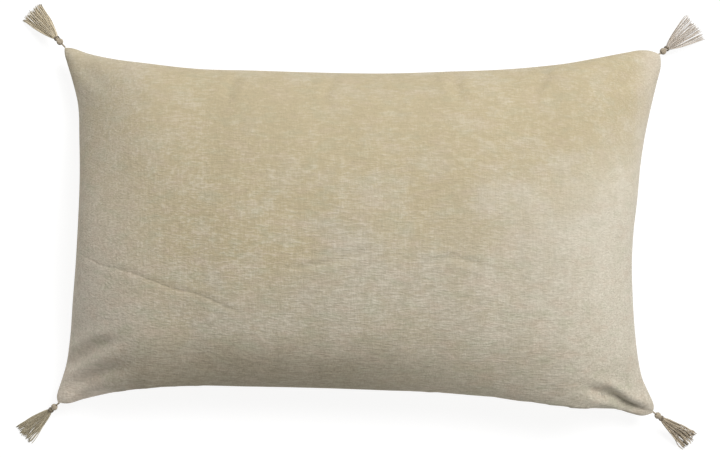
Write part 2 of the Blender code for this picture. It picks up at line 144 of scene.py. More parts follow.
class Tubes:   # yarns, cords and wires gathered into one mesh
    def __init__(self):
        self.points, self.faces, self.tints, self.count = [], [], [], 0

    def add(self, path, radius, sides=6, lobes=0, lobeDepth=0.0, pitch=1.0, tint=0.5, taper=0.0):
        path = np.array(path, float)
        along = normalize(np.gradient(path, axis=0))
        side = np.cross(along[0], (0.31, 0.17, 0.93))
        length, angles = 0.0, np.arange(sides) * math.tau / sides
        rings = []
        for k, (place, forward) in enumerate(zip(path, along)):
            side = side - forward * side.dot(forward)
            side /= np.linalg.norm(side)
            up = np.cross(forward, side)
            length += np.linalg.norm(place - path[k - 1]) if k else 0.0
            turn = math.tau * length / pitch if lobes else 0.0
            grow = 1 + lobeDepth * np.cos(lobes * angles) if lobes else np.ones(sides)
            share = min(k, len(path) - 1 - k) / max(1, len(path) - 1)
            size = radius * (1 - taper * max(0.0, 1 - share * 20))
            spokes = np.outer(np.cos(angles + turn), side) + np.outer(np.sin(angles + turn), up)
            rings.append(place + spokes * (size * grow)[:, None])
        start = self.count
        for k in range(len(rings) - 1):
            for s in range(sides):
                a, b = start + k * sides + s, start + k * sides + (s + 1) % sides
                self.faces.append((a, b, b + sides, a + sides))
        last = start + (len(rings) - 1) * sides
        self.faces.append(tuple(start + s for s in reversed(range(sides))))
        self.faces.append(tuple(last + s for s in range(sides)))
        self.points.extend(np.concatenate(rings))
        self.tints.extend([tint] * (len(rings) * sides))
        self.count += len(rings) * sides

    def finish(self, name, material, body, replaced=()):
        piece = addPiece(name, self.points, self.faces, material, body, replaced)
        shade = piece.data.attributes.new("strandShade", "FLOAT", "POINT")
        shade.data.foreach_set("value", np.array(self.tints, np.float32))


# materials

def setInputs(node, inputs):   # a value for each input, or a socket to link to it
    for key, value in inputs.items():
        if isinstance(value, bpy.types.NodeSocket):
            node.id_data.links.new(value, node.inputs[key])
        else:
            node.inputs[key].default_value = value


def newMaterial(name, color, roughness, metallic=0.0):
    material = bpy.data.materials.new(name)
    material.use_nodes = True
    shader = material.node_tree.nodes["Principled BSDF"]
    setInputs(shader, {"Base Color": (*color, 1), "Roughness": roughness, "Metallic": metallic})
    return material, material.node_tree, shader


def addNode(tree, kind, inputs, **settings):
    node = tree.nodes.new(kind)
    for key, value in settings.items():
        setattr(node, key, value)
    setInputs(node, inputs)
    return node


def combine(operation, a, b=0.0, clamp=False):
    inputs = {0: a, 1: b}
    return addNode(a.id_data, "ShaderNodeMath", inputs, operation=operation, use_clamp=clamp).outputs[0]


def plus(a, b, clamp=False):
    return combine("ADD", a, b, clamp)


def minus(a, b):
    return combine("SUBTRACT", a, b)


def times(a, b, clamp=False):
    return combine("MULTIPLY", a, b, clamp)


def swing(value, size):   # a noise of 0 to 1 made into plus or minus half the size
    return times(minus(value, 0.5), size)


def spread(value, low, high, toLow=0.0, toHigh=1.0, interpolation="SMOOTHSTEP"):
    inputs = {"Value": value, "From Min": low, "From Max": high, "To Min": toLow, "To Max": toHigh}
    node = addNode(value.id_data, "ShaderNodeMapRange", inputs, interpolation_type=interpolation)
    return node.outputs["Result"]


def blendColor(share, a, b):
    a, b = ((*color, 1) if isinstance(color, tuple) else color for color in (a, b))
    node = share.id_data.nodes.new("ShaderNodeMix")
    node.data_type = "RGBA"
    setInputs(node, {"Factor": share, 6: a, 7: b})
    return node.outputs[2]


def placeIn(tree, scale):   # object coordinates, in millimetres times a scale for each axis
    where = tree.nodes.new("ShaderNodeTexCoord").outputs["Object"]
    inputs = {"Vector": where, "Scale": tuple(1000 * s for s in scale)}
    return addNode(tree, "ShaderNodeMapping", inputs).outputs["Vector"]


def noise(tree, scale, detail=2.0, rough=0.5):
    inputs = {"Vector": placeIn(tree, scale), "Scale": 1.0, "Detail": detail, "Roughness": rough}
    return addNode(tree, "ShaderNodeTexNoise", inputs).outputs["Fac"]


def waves(tree, pitch, direction, distortion):   # one ridge for each pitch, in millimetres
    inputs = {"Vector": placeIn(tree, (1, 1, 1)), "Scale": math.tau / 20 / pitch, "Distortion": distortion,
              "Detail": 1.0, "Detail Scale": 1.5}
    return addNode(tree, "ShaderNodeTexWave", inputs, bands_direction=direction).outputs["Fac"]


def addBump(shader, height, distance, strength):
    inputs = {"Height": height, "Distance": distance, "Strength": strength}
    bump = addNode(height.id_data, "ShaderNodeBump", inputs)
    setInputs(shader, {"Normal": bump.outputs["Normal"]})


velvetLook = dict(
    gold=(0.434, 0.366, 0.236),    # nap lying down the cloth
    rose=(0.446, 0.398, 0.306),    # nap brushed the other way
    # painted sheen: the lighter right side, where the light falls
    light=(0.545, 0.500, 0.408),
    # painted sheen along the left and right edges
    paintedSheen=(0.562, 0.506, 0.424),
    blush=(0.600, 0.520, 0.430),
    # darker threads and random tone, and the painted shade below the belly and along the crease
    dark=(0.235, 0.203, 0.142),
    pale=(0.800, 0.750, 0.640),
    pink=(0.495, 0.400, 0.312),
    sage=(0.402, 0.398, 0.288),
    roughness=0.88,
    gloss=0.15,
    sheen=0.16,
    sheenSpread=0.42,
    sheenTint=(1.0, 0.96, 0.88),
    crease=[(-230, -20.5), (-203, -33), (-184, -37), (-151, -49), (-123, -55.6), (-98, -66.3), (-78, -70)],
)


def creaseLine(tree, x, y):   # depth of one sharp crease, from 0 to 1
    points = velvetLook["crease"]
    low, high = points[0][0], points[-1][0]
    curve = tree.nodes.new("ShaderNodeFloatCurve")
    line = curve.mapping.curves[0]
    while len(line.points) < len(points):
        line.points.new(0.5, 0.5)
    for point, (px, py) in zip(line.points, points):
        point.location = ((px - low) / (high - low), -py / 100)
    curve.mapping.update()
    share = spread(x, low, high, interpolation="LINEAR")
    setInputs(curve, {"Value": share})
    away = plus(y, times(curve.outputs["Value"], 100))
    away = plus(away, swing(noise(tree, (0.07, 0.07, 0.07), 2), 3.0))
    sharp = spread(combine("ABSOLUTE", away), 0.2, 1.5, 1.0, 0.0)
    ends = times(spread(share, 0.0, 0.12), spread(share, 1.0, 0.75))
    return times(sharp, ends)


def napAndSheenColor(tree, x, y, patches, grazeContrast):   # the nap turns greyer to the left and below a slanting line; painted sheen lightens the edges and the right side
    look = velvetLook
    broad = noise(tree, (0.011, 0.013, 0.012), 3, 0.55)
    slant = plus(plus(y, times(x, -0.22)), swing(broad, 170))
    leftSide = spread(plus(x, times(patches, 120)), -70, -215)
    grey = plus(spread(slant, 48, -78), times(leftSide, 0.6), clamp=True)
    patchy = spread(patches, 0.40, 0.64, -0.22, 0.28)
    color = blendColor(plus(grey, patchy, clamp=True), look["gold"], look["rose"])

    # painted sheen: lighter along the left edge
    leftEdge = times(spread(x, -125, -235, 0.0, 0.72), spread(y, 100, -60, 0.2, 1.0))
    color = blendColor(leftEdge, color, look["paintedSheen"])
    lowCorner = spread(plus(x, y), -295, -375, 0.0, 0.6)
    color = blendColor(lowCorner, color, look["blush"])
    # painted sheen: the right side of the cushion lighter, where the light falls
    across = plus(x, times(patches, 90))
    across = minus(across, spread(y, 15, 125, 0.0, 150.0))
    color = blendColor(spread(across, 110, 280, 0.0, 0.90), color, look["light"])
    # painted sheen: a pale band along the right edge
    color = blendColor(spread(x, 216, 244, 0.0, 0.65), color, look["paintedSheen"])

    hue = noise(tree, (0.045, 0.11, 0.08), 3, 0.6)
    # hue patches, stronger where the light grazes (painted shading)
    tinted = times(grazeContrast, 0.45)
    color = blendColor(times(spread(hue, 0.50, 0.68), tinted), color, look["pink"])
    return blendColor(times(spread(hue, 0.48, 0.32), tinted), color, look["sage"])


def threadRelief(tree):   # slubs of the ground cloth, most of them across the cushion
    weft = noise(tree, (0.125, 0.64, 0.64), 3, 0.62)
    shortWeft = noise(tree, (0.26, 0.85, 0.85), 2, 0.6)
    warp = noise(tree, (0.66, 0.11, 0.4), 2, 0.6)
    threads = times(spread(weft, 0.34, 0.66, -0.5, 0.5), 0.34)
    threads = plus(threads, spread(shortWeft, 0.32, 0.68, -0.13, 0.13))
    return plus(threads, spread(warp, 0.34, 0.66, -0.085, 0.085))


def paintedUnderShade(tree, x, y, patches):   # painted shade: the cloth is darker below the belly of the cushion, where it turns away from the light
    shade = plus(y, times(patches, 14))
    under = times(spread(shade, -70, -112, 0.0, 0.66), spread(x, 110, -45, 0.25, 1.0))
    return times(under, spread(x, -228, -170))


def makeVelvet():
    look = velvetLook
    material, tree, shader = newMaterial("velvet", look["gold"], look["roughness"])
    split = addNode(tree, "ShaderNodeSeparateXYZ", {"Vector": placeIn(tree, (1, 1, 1))})
    x, y = split.outputs["X"], split.outputs["Y"]
    patches = noise(tree, (0.034, 0.042, 0.04), 4, 0.6)
    grazeContrast = spread(plus(y, times(x, 0.20)), 120, -110, 0.42, 0.86)   # painted shading: the thread marks show stronger toward the lower left, where the light grazes, and fade to the top
    threads = threadRelief(tree)
    crease = creaseLine(tree, x, y)

    tone = times(threads, grazeContrast)
    tone = plus(tone, swing(noise(tree, (0.11, 0.19, 0.16), 3, 0.6), 0.30))
    tone = plus(tone, swing(patches, 0.22))
    bands = noise(tree, (0.040, 0.004, 0.02), 2, 0.5)     # faint marks left by the folded bolt
    tone = plus(tone, spread(bands, 0.3, 0.7, -0.035, 0.035))
    # painted shade below the belly
    tone = minus(tone, paintedUnderShade(tree, x, y, patches))
    # painted shade: the colour darkens along the crease
    tone = minus(tone, times(crease, 0.09))
    color = napAndSheenColor(tree, x, y, patches, grazeContrast)
    color = blendColor(times(tone, -1.0, clamp=True), color, look["dark"])
    color = blendColor(times(tone, 1.0, clamp=True), color, look["pale"])
    setInputs(shader, {
        "Base Color": color, "Roughness": spread(patches, 0.3, 0.7, 0.82, 0.93),
        "Sheen Weight": look["sheen"], "Sheen Roughness": look["sheenSpread"],
        "Sheen Tint": (*look["sheenTint"], 1), "Specular IOR Level": look["gloss"]})
    addBump(shader, plus(threads, times(crease, -0.5)), 0.0012, 0.45)
    return material


def makeWoven(name, light, dark, pitch, roughness, depth, sheen=0.0):
    material, tree, shader = newMaterial(name, light, roughness)
    weave = times(waves(tree, pitch, "X", 0.3), waves(tree, pitch, "Y", 0.3))
    uneven = noise(tree, (0.3, 0.3, 0.3), 3, 0.6)
    share = plus(times(weave, 0.6), times(uneven, 0.5), clamp=True)
    setInputs(shader, {"Base Color": blendColor(share, dark, light), "Sheen Weight": sheen})
    addBump(shader, weave, depth, 0.6)
    return material


def makeFibre():
    material, tree, shader = newMaterial("fibre", (0.86, 0.86, 0.84), 0.95)
    tangle = noise(tree, (0.25, 0.25, 0.25), 6, 0.7)
    color = blendColor(tangle, (0.74, 0.74, 0.72), (0.93, 0.93, 0.92))
    setInputs(shader, {"Base Color": color, "Sheen Weight": 0.4})
    addBump(shader, tangle, 0.002, 0.7)
    return material


def makeYarn(name, pale, deep):
    material, tree, shader = newMaterial(name, pale, 0.85)
    strand = addNode(tree, "ShaderNodeAttribute", {}, attribute_name="strandShade").outputs["Fac"]
    fluff = noise(tree, (1.6, 1.6, 1.6), 3, 0.65)
    share = plus(strand, swing(fluff, 0.4), clamp=True)
    setInputs(shader, {"Base Color": blendColor(share, deep, pale), "Sheen Weight": 0.25,
                       "Sheen Roughness": 0.4, "Specular IOR Level": 0.25})
    addBump(shader, fluff, 0.00005, 0.4)
    return material


def makeMetal():
    material, tree, shader = newMaterial("zipMetal", (0.50, 0.44, 0.33), 0.38, 0.6)
    wear = noise(tree, (0.8, 0.8, 0.8), 4, 0.7)
    color = blendColor(spread(wear, 0.45, 0.75), (0.46, 0.40, 0.29), (0.62, 0.57, 0.47))
    setInputs(shader, {"Base Color": color, "Roughness": spread(wear, 0.3, 0.7, 0.30, 0.48)})
    addBump(shader, wear, 0.00004, 0.4)
    return material


def makeNylon():
    material, tree, shader = newMaterial("zipCoil", (0.44, 0.38, 0.27), 0.42)
    shade = noise(tree, (0.5, 0.5, 0.5), 2)
    setInputs(shader, {"Base Color": blendColor(shade, (0.38, 0.33, 0.23), (0.50, 0.44, 0.32))})
    addBump(shader, shade, 0.00004, 0.3)
    return material


studio = dict(
    distance=3.0,        # from the lens to the seam
    pictureWidth=0.585,  # width of the picture at the seam
    centre=(0.0012, 0.0),
    roll=0.85,
    floorSize=6.0,
    floorGlow=0.87,
    keyPlace=(1.11, 1.42, 2.88),
    keySize=1.6,
    keyPower=120.0,
    worldStrength=0.27,
    horizonStrength=0.95,
)


def makeFloor():
    material, tree, shader = newMaterial("floor", (0.20, 0.20, 0.20), 0.8)
    setInputs(shader, {"Emission Color": (1, 1, 1, 1), "Emission Strength": studio["floorGlow"],
                       "Specular IOR Level": 0.1})
    return material


materials = dict(
    velvet=makeVelvet(),
    ticking=makeWoven("ticking", (0.84, 0.82, 0.78), (0.68, 0.66, 0.62), 0.7, 0.85, 0.00012, 0.1),
    fibre=makeFibre(),
    tape=makeWoven("zipTape", (0.50, 0.43, 0.30), (0.36, 0.30, 0.20), 0.6, 0.8, 0.0001),
    coil=makeNylon(),
    metal=makeMetal(),
    cord=makeYarn("cord", (0.42, 0.35, 0.25), (0.24, 0.20, 0.14)),
    yarnTl=makeYarn("yarnTl", (0.72, 0.63, 0.47), (0.42, 0.35, 0.23)),
    yarnTr=makeYarn("yarnTr", (0.62, 0.55, 0.47), (0.34, 0.29, 0.24)),
    yarnBl=makeYarn("yarnBl", (0.66, 0.58, 0.41), (0.38, 0.32, 0.21)),
    yarnBr=makeYarn("yarnBr", (0.58, 0.49, 0.36), (0.20, 0.16, 0.11)),
    head=makeYarn("head", (0.45, 0.385, 0.29), (0.22, 0.18, 0.13)),
    binding=makeYarn("binding", (0.34, 0.28, 0.20), (0.18, 0.14, 0.10)),
    label=makeWoven("label", (0.86, 0.85, 0.81), (0.74, 0.73, 0.69), 0.35, 0.5, 0.00004, 0.2),
    floor=makeFloor(),
)
print("materials made:", len(materials))


# camera, floor and lights

def makeCamera():
    seam = jointPlace("pull_tab_swing").z
    data = bpy.data.cameras.new("camera")
    data.sensor_width = 36
    data.lens = data.sensor_width * studio["distance"] / studio["pictureWidth"]
    camera = bpy.data.objects.new("camera", data)
    camera.location = (*studio["centre"], seam + studio["distance"])
    camera.rotation_euler = (0, 0, math.radians(studio["roll"]))
    bpy.context.scene.collection.objects.link(camera)
    bpy.context.scene.camera = camera


def makeLight(name, place, size, power):
    data = bpy.data.lights.new(name, "AREA")
    data.size, data.energy = size, power
    light = bpy.data.objects.new(name, data)
    light.location = place
    light.rotation_euler = (-Vector(place)).to_track_quat("-Z", "Y").to_euler()
    bpy.context.scene.collection.objects.link(light)


def makeStudio():
    half = studio["floorSize"] / 2
    mesh = bpy.data.meshes.new("floor")
    square = [(-half, -half, 0), (half, -half, 0), (half, half, 0), (-half, half, 0)]
    mesh.from_pydata(square, [], [(0, 1, 2, 3)])
    mesh.materials.append(materials["floor"])
    floor = bpy.data.objects.new("floor", mesh)
    floor.location.z = -0.2 * mm
    bpy.context.scene.collection.objects.link(floor)
    makeLight("key", studio["keyPlace"], studio["keySize"], studio["keyPower"])
    world = bpy.data.worlds.new("studio")
    world.use_nodes = True
    tree = world.node_tree
    direction = tree.nodes.new("ShaderNodeTexCoord").outputs["Generated"]
    height = addNode(tree, "ShaderNodeSeparateXYZ", {"Vector": direction}).outputs["Z"]
    strength = spread(height, 0.08, 0.24, studio["horizonStrength"], studio["worldStrength"])
    setInputs(tree.nodes["Background"], {"Color": (1, 1, 1, 1), "Strength": strength})
    bpy.context.scene.world = world
    bpy.context.scene.view_settings.view_transform = "Standard"


makeCamera()
makeStudio()
print("studio made")


# the stuffed cushion: outline, form and cloth

cushion = dict(
    cells=(120, 72),             # cloth faces of each panel before the subdivision
    cut=(0.500, 0.300),          # flat panel between its seams
    # mm from the frame's corner
    cornerShift=dict(tl=(1.2, -1.6), tr=(0.6, 0.2), bl=(-0.2, 0.6), br=(-1.2, -0.8)),
    # how far each side is drawn in from the line between its corners, in mm, along the side from -1 to 1
    top=[(-1, 0), (-.98, .2), (-.923, 4.4), (-.847, 8.6), (-.709, 13.3), (-.55, 17.1), (-.36, 18), (-.16, 19),
         (.089, 19.1), (.288, 17.1), (.488, 14.6), (.587, 12.3), (.687, 9.2), (.786, 4.3), (.885, -1),
         (.935, -3.2), (.97, -2.6), (1, 0)],
    bottom=[(-1, 0), (-.97, -.6), (-.914, 3.3), (-.814, 9.6), (-.681, 14.7), (-.54, 17), (-.36, 17.2),
            (-.2, 17.2), (-.05, 16.8), (.121, 15.8), (.27, 15), (.422, 12.9), (.523, 10.2), (.623, 7.4),
            (.724, 4.6), (.824, 3.7), (.881, 2.9), (.93, -.6), (.97, -2.2), (1, 0)],
    left=[(-1, 0), (-.97, -.9), (-.935, -.1), (-.89, 1.9), (-.785, 6.3), (-.651, 9.1), (-.425, 11.6),
          (-.199, 14.1), (0, 15.4), (.252, 15.8), (.477, 14.3), (.702, 11.4), (.815, 6.8), (.911, 2.3),
          (.97, 0), (1, 0)],
    right=[(-1, 0), (-.965, -1.2), (-.93, .2), (-.886, 3.2), (-.816, 8.2), (-.714, 12.2), (-.6, 15),
           (-.365, 19), (-.146, 20.9), (0, 20.3), (.183, 17.6), (.403, 14.6), (.56, 10.9), (.678, 7.3),
           (.843, 1.8), (.93, -1.0), (.965, -1.0), (1, 0)],
    seamStraight=0.166,          # half of the level stretch of the seam
    cornerLevel=0.012,
    swell=(2.4, 2.0, 0.54),
    belly=0.056,
    seamGap=0.5 * mm,
    slitGap=1.8 * mm,
    cordGap=3.4 * mm,
    grooveLip=9.0 * mm,          # height of the rolled edge over the zip
    grooveFade=26 * mm,          # how far above its edge the cloth stays pushed out
    grooveRoom=(1.1 * mm, 3.2 * mm),   # the groove is this high this far outside the slit
    grooveOpen=(-0.166, 0.146),
    grooveShut=(-0.192, 0.186),
    grooveRun=0.026,             # the edge thickens over this length before the groove
    wall=1.2 * mm,
    turnIn=1.4 * mm,
)
seamMiddle = jointPlace("pull_tab_swing").z
seamCorner = jointPlace("sway_tl").z
frontLow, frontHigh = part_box("cover_front")
halfLength = (frontHigh.x - frontLow.x) / 2
halfWidth = (frontHigh.y - frontLow.y) / 2
crown = frontHigh.z
slitDepth = 1.9 * mm             # zip tapes start this far behind the slit
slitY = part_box("zip_tape_front")[0].y - slitDepth


def outlinePoint(u, v):   # place in plan of a point of the cushion, u along its length and v along its width
    place = {}
    for name, (a, b) in dict(tl=(-1, 1), tr=(1, 1), bl=(-1, -1), br=(1, -1)).items():
        shift = cushion["cornerShift"][name]
        place[name] = np.array((a * halfLength + shift[0] * mm, b * halfWidth + shift[1] * mm))
    up, right = (v[..., None] + 1) / 2, (u[..., None] + 1) / 2
    flat = ((1 - up) * ((1 - right) * place["bl"] + right * place["br"])
            + up * ((1 - right) * place["tl"] + right * place["tr"]))
    pulls = {side: smoothLine(cushion[side], v if side in ("left", "right") else u) * mm
             for side in ("top", "bottom", "left", "right")}
    flat[..., 0] += pulls["left"] * (1 - right[..., 0]) - pulls["right"] * right[..., 0]
    flat[..., 1] += pulls["bottom"] * (1 - up[..., 0]) - pulls["top"] * up[..., 0]
    return flat


def seamHeight(x, y):
    level, straight = cushion["cornerLevel"], cushion["seamStraight"]
    acrossX = ease((abs(x) - straight) / (halfLength - straight - level))
    acrossY = ease(abs(y) / (halfWidth - level))
    return seamMiddle - (seamMiddle - seamCorner) * acrossX * acrossY


def evenShares(cells, half, rise, power):   # shares of the half length, evenly spaced along the crowned cloth
    u = np.sin(np.linspace(0, math.pi / 2, 800))
    z = rise * (1 - u ** power) ** cushion["swell"][2]
    steps = np.hypot(np.diff(u * half), np.diff(z))
    length = np.concatenate([[0], np.cumsum(steps)])
    shares = np.interp(np.linspace(0, length[-1], cells // 2 + 1), length, u)
    return np.concatenate([-shares[:0:-1], shares])


def startForm(side):
    powerX, powerY, roundness = cushion["swell"]
    rise = (crown - seamMiddle) * 0.8
    u = evenShares(cushion["cells"][0], halfLength, rise, powerX)
    v = evenShares(cushion["cells"][1], halfWidth, rise, powerY)
    u, v = np.meshgrid(u, v, indexing="ij")
    plan = outlinePoint(u, v)
    seam = seamHeight(plan[..., 0], plan[..., 1])
    swell = np.maximum(0, (1 - abs(u) ** powerX) * (1 - abs(v) ** powerY)) ** roundness
    if side > 0:
        z = seam + (crown - seam) * swell
    else:
        z = np.maximum(0.4 * mm, seam - cushion["belly"] * swell)
    return np.dstack([plan, z])


clothSettings = dict(
    frames=30,
    quality=7,
    pressure=5.0,
    mass=0.15,
    stretch=40,
    shear=15,
    bending=0.5,
    damping=10,
    airDrag=2,
    skin=1 * mm,
    cap=0.024,           # furthest that a point may move from the start form
)


def inflate(front, back):   # both panels sewn at the pinned seam, filled by pressure on a floor
    rows, columns = front.shape[:2]
    points, used, number, faces = sew(front, back)
    alongCut = np.linspace(-0.5, 0.5, rows) * cushion["cut"][0]
    acrossCut = np.linspace(-0.5, 0.5, columns) * cushion["cut"][1]
    a, b = np.meshgrid(alongCut, acrossCut, indexing="ij")
    flat = np.concatenate([np.dstack([a, b, np.full_like(a, h)]).reshape(-1, 3) for h in (0.052, 0.048)])

    mesh = bpy.data.meshes.new("cloth")
    mesh.from_pydata(points[used].tolist(), [], faces.tolist())
    body = bpy.data.objects.new("cloth", mesh)
    bpy.context.scene.collection.objects.link(body)
    body.shape_key_add(name="start")
    cutShape = body.shape_key_add(name="cut")
    cutShape.data.foreach_set("co", flat[used].astype(np.float32).ravel())
    cutShape.value = 0
    pinned = body.vertex_groups.new(name="seam")
    pinned.add(number[borderOf(rows, columns)].tolist(), 1.0, "REPLACE")
    cloth = body.modifiers.new("cloth", "CLOTH")
    settings = cloth.settings
    settings.rest_shape_key = cutShape
    settings.vertex_group_mass = "seam"
    settings.quality = clothSettings["quality"]
    settings.mass = clothSettings["mass"]
    settings.tension_stiffness = settings.compression_stiffness = clothSettings["stretch"]
    settings.shear_stiffness = clothSettings["shear"]
    settings.bending_stiffness = clothSettings["bending"]
    for pull in ("tension", "compression", "shear"):
        setattr(settings, pull + "_damping", clothSettings["damping"])
    settings.air_damping = clothSettings["airDrag"]
    settings.use_pressure = True
    settings.uniform_pressure_force = clothSettings["pressure"]
    settings.effector_weights.gravity = 0
    cloth.collision_settings.use_self_collision = False
    cloth.collision_settings.distance_min = clothSettings["skin"]
    ground = bpy.data.meshes.new("ground")
    ground.from_pydata([(-1, -1, 0), (1, -1, 0), (1, 1, 0), (-1, 1, 0)], [], [(0, 1, 2, 3)])
    rest = bpy.data.objects.new("ground", ground)
    rest.location.z = -clothSettings["skin"]
    bpy.context.scene.collection.objects.link(rest)
    rest.modifiers.new("floor", "COLLISION")
    rest.collision.thickness_outer = clothSettings["skin"]
    scene = bpy.context.scene
    scene.frame_start, scene.frame_end = 1, clothSettings["frames"]
    cloth.point_cache.frame_end = clothSettings["frames"]
    for moment in range(1, clothSettings["frames"] + 1):
        scene.frame_set(moment)
    filled = body.evaluated_get(bpy.context.evaluated_depsgraph_get()).to_mesh()
    found = np.zeros(len(filled.vertices) * 3)
    filled.vertices.foreach_get("co", found)
    found = found.reshape(-1, 3)[number]
    bpy.data.objects.remove(body, do_unlink=True)
    bpy.data.objects.remove(rest, do_unlink=True)
    scene.frame_set(1)
    moved = found - points
    far = np.linalg.norm(moved, axis=1, keepdims=True)
    found = points + moved * np.minimum(1, clothSettings["cap"] / np.maximum(far, 1e-9))
    return found[:rows * columns].reshape(front.shape), found[rows * columns:].reshape(back.shape)


frontGrid, backGrid = startForm(1), startForm(-1)
frontGrid, backGrid = inflate(frontGrid, backGrid)
print("cloth filled, crown at", round(float(frontGrid[..., 2].max()) / mm, 1), "mm")
frontGrid, backGrid = refine(frontGrid), refine(backGrid)


# creases, puckers and uneven filling, pressed into the front

folds = [   # path in mm on the face, depth and half width in mm
    dict(path=[(-236, -18), (-203, -33), (-184, -37), (-151, -49), (-123, -55.6), (-98, -66.3), (-72, -71)],
         depth=0.6, width=2.2),
    dict(path=[(-74, -34), (-44, -31), (-10, -24), (22, -12)], depth=1.0, width=2.8),
    dict(path=[(-46, -22), (-20, -20), (8, -14)], depth=0.6, width=2.4),
    dict(path=[(44, -29), (74, -21), (108, -30)], depth=0.9, width=2.6),
    dict(path=[(-244, -124), (-233, -114), (-214, -99), (-190, -88)], depth=3.6, width=4.6),
    dict(path=[(-240, -140), (-223, -128), (-206, -118), (-178, -106)], depth=3.4, width=4.6),
    dict(path=[(-222, -142), (-196, -133), (-162, -122)], depth=1.8, width=4.6),
    dict(path=[(176, -120), (190, -123.5), (203, -129), (214, -136), (221, -140.5), (230, -144), (246, -148)],
         depth=5.6, width=3.6),
    dict(path=[(194, -139), (206, -142.5), (219, -149)], depth=2.6, width=2.4),
    dict(path=[(-98, 132), (-103, 116), (-110, 98)], depth=1.3, width=4.5),
    dict(path=[(-22, 132), (-24, 117), (-32, 98)], depth=1.1, width=4.5),
    dict(path=[(78, 136), (76, 118), (82, 98)], depth=1.3, width=4.5),
    dict(path=[(154, 140), (148, 126), (136, 106)], depth=1.3, width=4.5),
    dict(path=[(-240, 142), (-222, 124), (-200, 106)], depth=0.7, width=5.0),
    dict(path=[(242, 144), (222, 128), (198, 114)], depth=1.4, width=6.0),
]
filling = dict(lump=0.9 * mm, pucker=0.55 * mm, puckerReach=11 * mm, seed=7)


def rippleOf(where, lengths, generator):   # smooth unevenness from a few waves in random directions
    height = np.zeros(where.shape[:-1])
    for length in lengths:
        angle, phase = generator.uniform(0, math.tau), generator.uniform(0, math.tau)
        forward = where[..., 0] * math.cos(angle) + where[..., 1] * math.sin(angle)
        height += np.sin(forward * math.tau / length + phase)
    return height / len(lengths)


def foldDepth(plan, fold):
    path = np.array(fold["path"]) * mm
    steps = np.linalg.norm(np.diff(path, axis=0), axis=1)
    before, total = np.concatenate([[0], np.cumsum(steps)]), steps.sum()
    nearest, along = np.full(plan.shape[:-1], 1e9), np.zeros(plan.shape[:-1])
    for k in range(len(path) - 1):
        run = path[k + 1] - path[k]
        t = np.clip(((plan - path[k]) @ run) / (run @ run), 0, 1)
        gap = np.linalg.norm(plan - path[k] - t[..., None] * run, axis=-1)
        closer = gap < nearest
        nearest = np.where(closer, gap, nearest)
        along = np.where(closer, (before[k] + t * steps[k]) / total, along)
    width = fold["width"] * mm
    taper = ease(along / 0.42) * ease((1 - along) / 0.3)
    valley = -np.exp(-(nearest / width) ** 2) + 0.42 * np.exp(-((nearest - 2 * width) / width) ** 2)
    return valley * taper * fold["depth"] * mm


def dress(grid, side):
    generator = random.Random(filling["seed"] + side)
    rows, columns = grid.shape[:2]
    i, j = np.meshgrid(np.arange(rows), np.arange(columns), indexing="ij")
    cell = cushion["cut"][0] / (rows - 1)
    fromSide = np.minimum(np.minimum(i, rows - 1 - i), np.minimum(j, columns - 1 - j)) * cell
    lumps = rippleOf(grid, (0.21, 0.16, 0.12, 0.09, 0.07), generator)
    height = filling["lump"] * lumps * ease(fromSide / 0.05)
    for edge, where in ((j, 0), (columns - 1 - j, 0), (i, 1), (rows - 1 - i, 1)):
        distance = edge * cell
        gathers = np.zeros_like(height)
        for length in (0.031, 0.021, 0.0145, 0.011):
            phase = generator.uniform(0, math.tau)
            gathers += np.sin(grid[..., where] * math.tau / length + phase) / 4
        fade = np.exp(-distance / filling["puckerReach"]) * ease(distance / 0.006)
        height += filling["pucker"] * gathers * fade
    if side > 0:
        for fold in folds:
            height += foldDepth(grid[..., :2], fold) * ease(fromSide / 0.008)
    if side < 0:
        height *= ease(grid[..., 2] / 0.012)
    grid = grid + gridNormals(grid) * height[..., None] * side
    if side < 0:   # the underside rests on the floor
        above = grid[..., 2] - grid[..., 2].min()
        grid[..., 2] -= (grid[..., 2].min() - 0.05 * mm) * ease(1 - above / 0.03)
    grid[..., 2] = np.maximum(grid[..., 2], 0.05 * mm)
    return grid


